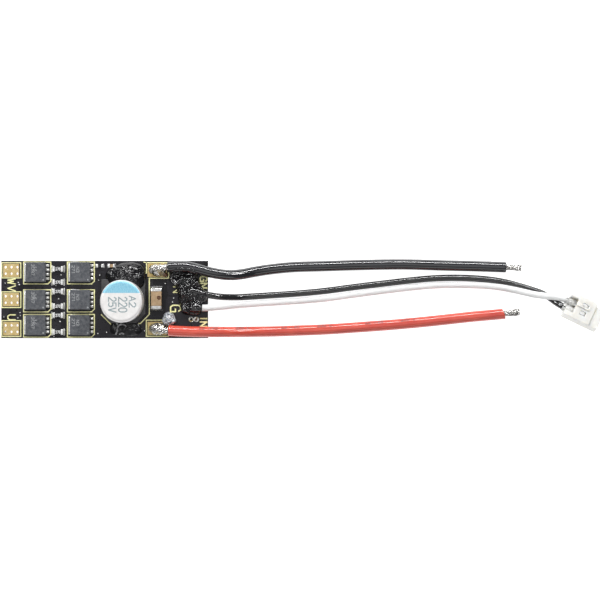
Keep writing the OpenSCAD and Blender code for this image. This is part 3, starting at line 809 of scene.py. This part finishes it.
def jacket(name, line, radius, look, slot, slant):
    """An insulated lead. Its ends are cut square, and the conductor's hole shows in them."""
    shape = Shape()

    def r(i, a):
        p = Vector((i * 0.09, 1.3 * cos(a), 1.3 * sin(a)))
        return radius * (1 + 0.006 * noise.noise(p))

    hole = ((-0.45, 0.56), (-0.03, 0.6), (0, 0.66), (0, 0.9), (-0.05, 0.98), (-0.12, 1))
    sweep(shape, line, r, 28, start=hole, end=tuple(reversed(hole)), slant=slant)
    return make(name + "_jacket", shape, [look], slot, [name + "_lead"])


def bundle(shape, axis, thick, fan, seed, wander=0.05):
    """Twisted strands round an axis: one in the middle and the rest about it."""
    at = axes_along(axis)
    total = sum((b - a).length for a, b in zip(axis, axis[1:]))
    for k in range(STRANDS + 1):
        line, run = [], 0.0
        for i, (p, t, s, u) in enumerate(at):
            if i:
                run += (axis[i] - axis[i - 1]).length
            share = run / total
            a = 2 * pi * (k / STRANDS + run / TWIST) + seed
            w = Vector((run * 0.8, k * 1.7, seed))
            out = 0 if k == STRANDS else SPREAD * (1 + fan * share * share * (1 + noise.noise(w)))
            drift = wander * noise.noise(w + Vector((3, 0, 0))) * share
            line.append(p + (out + drift) * (cos(a) * s + sin(a) * u)
                        + t * (0.14 * noise.noise(Vector((k * 2.3, seed, 1))) * share))
        sweep(shape, line, lambda i, a: thick, 8, end=((0, 1), (0.04, 0.6)))


def stripped(name, fan, wander, seed):
    """The bare conductor at both ends of a battery lead."""
    shape, line = Shape(), LEADS[name][0]
    t = (line[-1] - line[-2]).normalized()
    tail = [line[-1] + t * (-0.4 + (STRIP + 0.4) * i / 16) for i in range(17)]
    bundle(shape, tail, 0.15, fan, seed, wander)
    head = [line[1].lerp(JOINTS[name], i / 14) + Vector((0, 0, 0.1 * sin(pi * i / 14)))
            for i in range(15)]
    bundle(shape, head, 0.165, 0.15, seed + 2)
    return make(name + "_strands", shape, [strand_metal], "tinned_copper", [name + "_conductor"])


LEADS = {}  # each lead's line, jacket and radius
for name, route, radius, look, slot, slant in (
        ("negative", NEGATIVE, POWER_R, black_wire, "black_silicone", 0),
        ("positive", POSITIVE, POWER_R, red_wire, "red_silicone", 0.22),
        ("ground", GROUND, SIGNAL_R, thin_black, "black_insulation", 0),
        ("signal", SIGNAL, SIGNAL_R, thin_white, "white_insulation", 0)):
    line = lay(route, radius)
    LEADS[name] = (line, jacket(name, line, radius, look, slot, slant), radius)

negative_strands = stripped("negative", 0.15, 0.06, 0.4)
positive_strands = stripped("positive", 0.5, 0.2, 1.9)


def on_lead(name, turn):
    """Places a print that runs along a lead, turn degrees round from its near side."""
    line, _, radius = LEADS[name]
    at = axes_along(line)
    runs = np.cumsum([0] + [(b - a).length for a, b in zip(line, line[1:])])

    def put(x, y, h):
        i = min(max(int(np.searchsorted(runs, x)), 1), len(line) - 1)
        f = (x - runs[i - 1]) / (runs[i] - runs[i - 1])
        (p, t, s, u), (q, _, s2, u2) = at[i - 1], at[i]
        p, s, u = p.lerp(q, f), s.lerp(s2, f).normalized(), u.lerp(u2, f).normalized()
        a = radians(turn) + y / radius
        return p + (radius * 1.012 + h) * (cos(a) * s + sin(a) * u)

    return put


# Small printed marks along the red lead.
lead_print = Shape()
along_red = on_lead("positive", 133)
for at in (4.6, 17.2, 29.8):
    for mark, x in (("22 AWG", at), ("200 C", at + 5.4)):
        write(lead_print, mark, (x, -0.2), (0.36, 0.42), along_red, stroke=0.075)
lead_marks = make("lead_marks", lead_print, [wire_ink], "print_ink", smooth=False)


# ---- Board, pads and print ----

def dress(name, *looks):
    """A CAD node keeps its shape and gets these materials, the second one on its upright faces."""
    node = nodes[name]
    node.data.materials.clear()
    for look in looks:
        node.data.materials.append(look.material)
    for face in node.data.polygons:
        face.material_index = 1 if len(looks) > 1 and abs(face.normal.z) < 0.7 else 0
    return node


def soften(node, width, segments=2):
    """Rounds a CAD node's edges without changing its mesh."""
    for kind, values in (
            ("WELD", {"merge_threshold": 1e-6}),
            ("DECIMATE", {"decimate_type": "DISSOLVE", "angle_limit": radians(2)}),
            ("BEVEL", {"width": width * MM, "segments": segments, "limit_method": "ANGLE",
                       "angle_limit": radians(35), "harden_normals": True})):
        modifier = node.modifiers.new(kind.lower(), kind)
        for key, value in values.items():
            setattr(modifier, key, value)


dress("circuit_board", mask, edge)
for name in ("phase_pad_c", "phase_pad_b", "phase_pad_a", "battery_pads", "signal_pads"):
    dress(name, pads)

# The two rings beside the signal joints, beyond this y, are tinned.
RINGS_Y = -2.6
signal_pads = nodes["signal_pads"].data
signal_pads.materials.append(hand_solder.material)
for face in signal_pads.polygons:
    if face.center.y < RINGS_Y * MM:
        face.material_index = 1

FET_X = {"low": -10.29, "high": -3.63}
FET_Y = {"c": 4.1, "b": -0.05, "a": -3.85}
ink = Shape()
on_board = flat(TOP)
for y0, y1 in ((5.52, 3.24), (1.15, -1.2), (-3.16, -5.54)):
    ribbon(ink, [(-15.4, y0), (-12.56, y0), (-12.56, y1), (-15.4, y1)], 0.14, on_board,
           closed=True)
for x0, x1 in ((-12.14, -8.06), (-5.57, -1.53)):
    for y0, y1 in ((5.62, 2.34), (1.46, -1.86), (-2.24, -5.64)):
        ribbon(ink, [(x0, y0), (x1, y0), (x1, y1 + 0.42), (x1 - 0.42, y1), (x0, y1)], 0.15,
               on_board, closed=True)
for letter, y in (("W", 3.1), ("V", 2.05), ("U", -2.3)):
    write(ink, letter, (-14.5, y), (0.76, 1.12), on_board, turned=True, stroke=0.17)
ribbon(ink, [(6.29, 3.95), (6.29, 5.53), (9.6, 5.53), (9.6, 3.2), (6.71, 3.2), (6.71, -2.22),
             (5.36, -3.6), (4.75, -3.6)], 0.15, on_board)
ribbon(ink, [(-0.5, -2.27), (1.0, -3.77)], 0.16, on_board)
ribbon(ink, [(6.26, -3.1), (9.56, -3.1), (9.56, -5.52), (6.26, -5.52)], 0.15, on_board, closed=True)
ribbon(ink, [(5.9, 5.6), (6.29, 5.53)], 0.15, on_board)
for mark, at, size, stroke, gap in (
        ("G", (9.9, -0.86), (0.95, 1.5), 0.2, 0), ("N", (10.3, 1.9), (0.9, 1.1), 0.15, 0),
        ("GN", (14.36, 3.45), (0.72, 1), 0.22, 0.42),
        ("IN", (14.36, -2.5), (0.72, 0.98), 0.21, 0.2)):
    write(ink, mark, at, size, on_board, turned=True, stroke=stroke, gap=gap)
make("silkscreen", ink, [yellow_ink], "silkscreen_ink", smooth=False)


def under(x, y, h):
    """Places print on the board's lower face, the right way round from below."""
    return (x, -y, BOTTOM - h)


under_ink = Shape()
for (x, y), w in (((-3.2, 0), 4.5), ((6.2, 0.4), 3.5)):
    a = w / 2
    ribbon(under_ink, [(x - a, -y - a), (x + a, -y - a), (x + a, -y + a), (x - a + 0.5, -y + a),
                       (x - a, -y + a - 0.5)], 0.13, under, closed=True)
for y in (3.8, 0, -3.8):
    ribbon(under_ink, [(-12.2, y - 0.85), (-9.55, y - 0.85), (-9.55, y + 0.85), (-12.2, y + 0.85)],
           0.12, under, closed=True)
    ribbon(under_ink, [(-12.0, y - 0.5), (-12.0, y + 0.5)], 0.14, under)
for mark, at, wide, stroke in (
        ("U", (-15.0, 4.8), 0.7, 0.14), ("V", (-15.0, -1.9), 0.7, 0.14),
        ("W", (-15.0, -3.2), 0.7, 0.14), ("+", (7.4, 4.2), 0.8, 0.15),
        ("-", (7.4, -5.1), 0.8, 0.15)):
    write(under_ink, mark, at, (wide, 0.9), under, stroke=stroke)
make("underside_print", under_ink, [yellow_ink], "silkscreen_ink", smooth=False)

# Small filled holes, each a low ring in the lacquer with a spot of tin in it.
hole_rings, hole_spots = Shape(), Shape()
for x, y in ((-12.92, 2.55), (-12.79, 2.22), (-12.67, -1.95), (-12.64, -2.4), (-13.0, -2.75),
             (-14.9, 2.45), (-6.88, 0.1), (-6.67, -3.3), (-7.3, 2.1), (-6.5, 3.7), (-0.74, 3.66),
             (-0.9, 2.9), (-1.0, -5.1), (0.3, -4.9), (10.35, 0.2), (10.2, -0.4), (11.6, 5.3),
             (14.7, 4.9), (-15.1, -2.6), (-7.6, -5.55), (6.0, -4.7), (9.1, 2.4)):
    lathe(hole_rings, [(0.24, TOP - 0.005), (0.21, TOP + 0.022), (0.15, TOP + 0.03),
                       (0.1, TOP + 0.012)], (x, y), 20)
    lathe(hole_spots, [(0.1, TOP + 0.008), (0.07, TOP + 0.02), (0.02, TOP + 0.024)], (x, y), 12)
make("filled_hole_rings", hole_rings, [mask], "solder_mask")
make("filled_hole_spots", hole_spots, [tin], "tinned_metal")


# ---- Transistors ----

FET_MARKS = {"low": (("30N7", -0.35, 1.2), ("16", -0.02, 0.9)),
             "high": (("271", -0.95, 1.0), ("N3", -0.3, 0.75))}
FET_TAB = {"low": 1.68, "high": 1.76}  # how far the drain's solder reaches
fet_solder, fet_marks = Shape(), Shape()
for phase, fy in FET_Y.items():
    for side, fx in FET_X.items():
        name = f"mosfet_{phase}_{side}"
        soften(dress(name, epoxy_pale), 0.05)
        dress(name + "_leads", tin)
        for i in range(4):
            y = fy + (i - 1.5) * LEAD_PITCH
            bead(fet_solder, fx + 1.44, fx + 2.0, y - 0.22, y + 0.22, TOP, 0.36)
        bead(fet_solder, fx - FET_TAB[side], fx - 1.44, fy - 1.4, fy + 1.4, TOP, 0.32,
             power=5, n=12)
        if side == "high":
            bead(fet_solder, fx - 1.5, fx - 0.1, fy + 1.46, fy + 1.58, TOP, 0.16, power=5, n=10)
        for mark, x, y in FET_MARKS[side]:
            write(fet_marks, mark, (fx + x - 0.25, fy + y), (0.34, 0.42), flat(TOP + 0.85),
                  turned=True, stroke=0.085, gap=0.32)
        lathe(fet_marks, [(0.13, TOP + 0.852), (0.12, TOP + 0.862), (0.03, TOP + 0.862)],
              (fx + 1.17, fy - 1.16), 16)
make("transistor_solder", fet_solder, [bright], "solder")
make("transistor_marks", fet_marks, [etched], "print_ink", smooth=False)


# ---- Chip parts ----

def chip_ends(shape, at, size, turned=False, flip=False, base=TOP):
    """Rounded tinned ends of a chip, each with a solder fillet that spreads on the board."""
    length, width, height, end, fillet = size
    inner = length / 2 - end
    profile = [(inner, height + 0.005), (length / 2 - 0.07, height + 0.03),
               (length / 2 - 0.01, height + 0.005), (length / 2 + 0.03, 0.86 * height),
               (length / 2 + 0.18 * fillet, 0.5 * height), (length / 2 + 0.42 * fillet, 0.24 * height),
               (length / 2 + 0.78 * fillet, 0.08 * height), (length / 2 + 1.1 * fillet, -0.01)]
    for way in (1, -1):
        rows = []
        for j in range(15):
            v = -cos(pi * j / 14)
            soft = max(0, 1 - abs(v) ** 6)
            row = []
            for x, z in profile:
                low = 1 - min(1, z / height)
                y = v * (width / 2 + 0.02 + 0.55 * fillet * low * low)
                out = inner + (x - inner) * (0.86 + 0.14 * soft)
                up = z * (0.93 + 0.07 * soft) if abs(v) < 1 else z * 0.9
                p = (way * out, way * y)
                p = (-p[1], p[0]) if turned else p
                row.append((at[0] + p[0], at[1] + p[1], base - up if flip else base + up))
            rows.append(row)
        foot = [(q[0], q[1], base + (0.01 if flip else -0.01)) for q in rows[0]]
        shape.rows([foot] + rows + [[(q[0], q[1], foot[0][2]) for q in rows[-1]]], around=False)


# Length, width, height, length of a tinned end, and its solder's spread.
CHIP_1206 = (3.2, 1.6, 1.2, 0.5, 0.24)
CHIP_0603 = (1.6, 0.8, 0.45, 0.34, 0.24)
CHIP_0402 = (1.0, 0.5, 0.35, 0.25, 0.16)
CHIP_0402_TALL = (1.0, 0.5, 0.5, 0.25, 0.16)
GATE_Y = {"c": (4.57, 2.6), "b": (1.2, -1.0), "a": (-2.37, -4.87)}

gate_ends, gate_digits = Shape(), Shape()
for phase, pair in GATE_Y.items():
    for side, y in zip(("low", "high"), pair):
        soften(dress(f"gate_resistor_{phase}_{side}", glaze), 0.03)
        chip_ends(gate_ends, (-6.98, y), CHIP_0603)
        write(gate_digits, "270", (-7.3, y - 0.19), (0.17, 0.38), flat(TOP + 0.43),
              stroke=0.07, gap=0.5)
make("gate_resistor_ends", gate_ends, [bright], "tinned_metal", ["gate_resistor_terminals"])
make("resistor_marks", gate_digits, [pale_ink], "print_ink", smooth=False)

small_ends = Shape()
chip_ends(small_ends, (-0.72, 5.05), CHIP_0402)
chip_ends(small_ends, (1.05, 5.05), CHIP_0402_TALL)
make("filter_ends", small_ends, [bright], "tinned_metal", ["filter_terminals"])
soften(dress("filter_resistor", glaze), 0.02)
soften(dress("filter_capacitor", fired), 0.03)

bypass_ends = Shape()
chip_ends(bypass_ends, (7.79, 0.14), CHIP_1206, turned=True)
make("bypass_ends", bypass_ends, [tin], "tinned_metal", ["bypass_terminals"])
soften(dress("bypass_capacitor", fired), 0.06, 3)
spot, spot_at = Shape(), (8.19, 0.28)
heap(spot, oval(spot_at, 0.3, 0.32), spot_at, lambda x, y, e: 0.06 * e ** 0.8, 8, 32,
     base=TOP + 1.18, rough=0.2)
make("bypass_flux_spot", spot, [flux_brown], "print_ink")


# ---- Can capacitor ----

can = Shape()
z0 = TOP + 0.6  # the can's rim, on its plastic base
profile = [(2.5, z0 + 0.02), (2.98, z0), (3.1, z0 + 0.04), (CAN_R, z0 + 0.14), (CAN_R, z0 + 0.85)]
# The rolled groove, the side, the rounded shoulder and the top.
profile += [(CAN_R - 0.3 * (0.5 - 0.5 * cos(pi * i / 6)), z0 + 0.95 + i * 0.095)
            for i in range(13)]
profile += [(CAN_R, z0 + 2.3), (CAN_R, z0 + 3.4), (CAN_R, z0 + 4.74)]
profile += [(2.7 + 0.45 * cos(pi / 2 * i / 9), 7.55 + 0.45 * sin(pi / 2 * i / 9))
            for i in range(10)]
profile += [(2.6, 7.999), (2.5, 7.994), (1.6, CAN_TOP), (0.8, CAN_TOP), (0.02, CAN_TOP)]
lathe(can, profile, CAN, 128)
make("can_shell", can, [aluminium], "can_aluminium", ["capacitor_can"])
can_print = Shape()
for mark, x, y, size, stroke in (("A2", 1.2, 0.75, (0.72, 0.95), 0.15),
                                 ("220", -0.35, 0.6, (0.62, 1.2), 0.16),
                                 ("25V", -1.85, 0.6, (0.62, 1.1), 0.16)):
    write(can_print, mark, (CAN[0] + x, CAN[1] + y), size, flat(CAN_TOP), turned=True,
          stroke=stroke)
make("can_marks", can_print, [can_ink], "print_ink", smooth=False)
dress("capacitor_bung", bung)
dress("capacitor_winding", foil)
soften(dress("capacitor_base", base_black), 0.08)
dress("capacitor_leads", tin)


# ---- Solder and glue ----

def wrinkle(x, y, scale, seed):
    """Uneven height, about -1 to 1, fixed by the place and the seed."""
    return noise.fractal(Vector((x * scale, y * scale, seed)), 0.9, 2.1, 4)


def joint(name, at, seed):
    """A mound of solder over the strands, with a ragged rim."""
    shape = Shape()

    def height(x, y, e):
        along = exp(-((y - at[1]) / 0.42) ** 2) * (0.16 if x > at[0] - 0.6 else 0.05)
        return e ** 0.75 * (0.9 + along + 0.2 * wrinkle(x, y, 1.3, seed))

    heap(shape, oval(at, 1.38, 0.95), at, height, 30, 96, base=TOP + 0.03, rough=0.12)
    return make(name + "_joint", shape, [hand_solder], "solder", [name + "_solder"])


joint("negative", (7.95, 4.42), 1.5)
joint("positive", (7.98, -4.38), 6.2)
flux = Shape()
for at, rx, ry, h in (((9.05, 3.75), 0.5, 0.34, 0.32), ((8.5, -4.95), 0.36, 0.16, 0.5),
                      ((7.5, -3.92), 0.4, 0.2, 0.35), ((7.2, 5.0), 0.4, 0.22, 0.3),
                      ((13.78, -3.02), 0.25, 0.23, 0.05)):
    heap(flux, oval(at, rx, ry), at, lambda x, y, e: h * e ** 0.8, 10, 36, rough=0.25)
make("flux_residue", flux, [flux_brown], "solder")
dress("signal_solder", bright)


GLUE_END = 16.5  # no glue lies beyond this x


def over_leads(x, y, names, cover):
    """How high glue stands at (x, y) to wrap the leads that pass there."""
    top = 0.0
    for name in names:
        line, _, radius = LEADS[name]
        r = radius + cover
        for p in line:
            if p.x > GLUE_END:
                break
            d = hypot(p.x - x, p.y - y)
            if d < r:
                top = max(top, p.z - TOP + sqrt(r * r - d * d))
    return top


def glue_height(tall, seed, names=(), scale=0.9, swell=0.4, slope=0.9):
    """The height function of a wrinkled patch of glue, which wraps the named leads."""
    def height(x, y, e):
        h = tall * e ** slope * (1 + swell * wrinkle(x, y, scale, seed))
        h += 0.16 * e * abs(wrinkle(x, y, 2.4, seed + 3))
        wrap = over_leads(x, y, names, 0.16 * min(1, 2.2 * e))
        return max(0.02, rounded_max(h, wrap, 0.35) if wrap else h)
    return height


glue_right = Shape()
heap(glue_right, [
    (11.6, -2.0), (11.3, -1.0), (11.0, 0.1), (10.95, 1.1), (10.5, 2.1), (9.7, 2.9),
    (9.85, 3.9), (10.9, 4.72), (12.5, 4.72), (13.6, 4.3), (14.0, 3.3), (14.3, 2.3),
    (14.9, 1.6), (15.3, 1.0), (15.3, -0.1), (14.75, -0.65), (14.6, -1.8), (14.2, -2.3),
    (13.2, -2.4), (12.3, -2.35)], (12.7, 0.9),
    glue_height(1.0, 4.1, ("ground", "signal", "negative"), swell=0.5), 70, 220)
make("lead_glue", glue_right, [glue], "black_adhesive", ["cable_adhesive"])

glue_can = Shape()
heap(glue_can, [
    (0.35, 2.9), (0.1, 3.7), (0.6, 4.5), (1.6, 5.1), (2.6, 5.5), (4.2, 5.58),
    (5.5, 5.3), (6.05, 4.5), (6.2, 3.4), (6.15, 2.2), (5.2, 1.4), (3.0, 1.3),
    (1.4, 1.6), (0.8, 2.2)], (3.2, 3.4), glue_height(1.5, 8.3, scale=0.5, swell=0.3), 50, 160)
heap(glue_can, [
    (1.2, -3.4), (0.8, -4.3), (1.0, -5.2), (2.2, -5.5), (3.8, -5.55), (5.1, -5.3),
    (5.7, -4.6), (5.3, -3.8), (4.5, -3.2), (2.4, -3.0)], (3.2, -4.3),
    glue_height(0.55, 2.6, scale=0.8, slope=1.4), 40, 140)
# Two thin strings of glue on the lower patch, in the grey string look, whose light grey is a painted highlight.
for line, r in (([(1.7, -5.25, 2.75), (1.95, -4.7, 2.95), (2.05, -4.1, 3.05), (2.5, -3.75, 3.1),
                  (3.05, -3.8, 3.05), (3.25, -4.05, 2.9)], 0.12),
                ([(2.2, -5.2, 2.8), (2.6, -5.05, 2.86), (2.95, -5.2, 2.8)], 0.1)):
    sweep(glue_can, smooth_line(line, 0.08), lambda i, a: r * (1 + 0.2 * sin(i * 0.9)), 10, look=1)
make("can_glue", glue_can, [calm_glue, glue_string_painted_highlight], "black_adhesive", ["capacitor_adhesive"])

cloud = Shape()
heap(cloud, [
    (8.65, -3.4), (8.75, -2.7), (9.0, -2.1), (9.6, -1.85), (10.25, -2.1),
    (10.6, -2.7), (10.75, -3.3), (10.3, -3.75), (9.6, -3.95), (9.0, -3.8)],
    (9.6, -2.9), lambda x, y, e: e ** 0.6 * (1.05 + 0.35 * wrinkle(x, y, 1.6, 5.0)), 30, 110,
    rough=0.08)
make("clear_blob", cloud, [milky], "clear_adhesive", ["clear_adhesive"])


# ---- Connector ----

soften(dress("connector_housing", white_plastic), 0.09, 3)
dress("connector_terminals", crimp_metal)


HOUSING_BACK = (69.2, -0.9)  # the middle of its back edge
HOUSING_TURN, HOUSING_ROLL = -25.7, -12  # degrees, about Z and about its length
HOUSING_W = 3.7


def in_connector(x, y, z):
    """A point given along the housing's own axes, in the row frame."""
    a, b = radians(HOUSING_TURN), radians(HOUSING_ROLL)
    y, z = y * cos(b) - z * sin(b), y * sin(b) + z * cos(b)
    x, y = x * cos(a) - y * sin(a), x * sin(a) + y * cos(a)
    return (HOUSING_BACK[0] + x, HOUSING_BACK[1] + y, z - HOUSING_W / 2 * sin(b))


def cushion(shape, xs, y, z, wide, high, place, n=20):
    """A bar along x with a rounded section and rounded ends."""
    rows = []
    for i in range(11):
        u = -cos(pi * i / 10)
        share = max(0.02, 1 - abs(u) ** 6) ** 0.5
        rows.append([place((xs[0] + xs[1]) / 2 + u * (xs[1] - xs[0]) / 2,
                           y + wide * share * copysign(abs(cos(a)) ** 0.5, cos(a)),
                           z + high * share * copysign(abs(sin(a)) ** 0.5, sin(a)))
                     for a in [2 * pi * (k + 0.5) / n for k in range(n)]])
    shape.rows(rows, caps=(True, True))


lances, wings = Shape(), Shape()
for y in (-0.625, 0.625):
    cushion(lances, (2.1, 3.06), y, 2.44, 0.27, 0.24, in_connector)
    for way in (1, -1):
        for x0, x1, r, a0, a1 in ((-0.42, 0.12, 0.6, -20, 82), (0.28, 0.8, 0.6, 4, 84)):
            rows = []
            for i in range(9):
                a = radians(a0 + (a1 - a0) * i / 8)
                c, s = way * cos(a), sin(a)
                rows.append([in_connector(x, y + c * d, 1.2 + s * d)
                             for x, d in ((x0, r - 0.05), (x0, r), (x0 + 0.05, r + 0.03),
                                          (x1 - 0.05, r + 0.03), (x1, r), (x1, r - 0.05))])
            wings.rows(rows, caps=(True, True))
make("connector_lances", lances, [white_plastic], "white_nylon")
make("crimp_wings", wings, [crimp_metal], "tinned_metal")


# ---- Underside ----

for name in ("microcontroller", "gate_driver", "voltage_regulator", "bootstrap_diodes"):
    soften(dress(name, epoxy_dark), 0.03)
for name in ("microcontroller_contacts", "gate_driver_contacts", "voltage_regulator_leads",
             "underside_terminals"):
    dress(name, tin)
for name in ("bootstrap_capacitors", "decoupling_capacitors"):
    soften(dress(name, fired), 0.03)
soften(dress("sense_resistors", glaze), 0.02)


# ---- Cords, boxes and the end ----

plug = [nodes["connector_housing"], nodes["connector_terminals"]]
for name, far, extra, stiffness in (
        ("negative", "bare", [negative_strands], "limp"),
        ("positive", "bare", [positive_strands, lead_marks], "limp"),
        ("ground", "connector", plug, "limp"), ("signal", "connector", plug, "limp")):
    line, piece, radius = LEADS[name]
    path = [tuple(c * MM for c in p) for p in line]
    length = sum((b - a).length for a, b in zip(line, line[1:])) * MM
    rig.cord(piece, exit=path[0], length=length, diameter=2 * radius * MM, far_end=far,
            stiffness=stiffness, lay="loose", path=path, with_pieces=extra)

made_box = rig.bounds()
with open("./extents.json", "w") as f:
    json.dump({"cad": [list(v) for v in cad_box], "visual": [list(v) for v in made_box]}, f, indent=1)
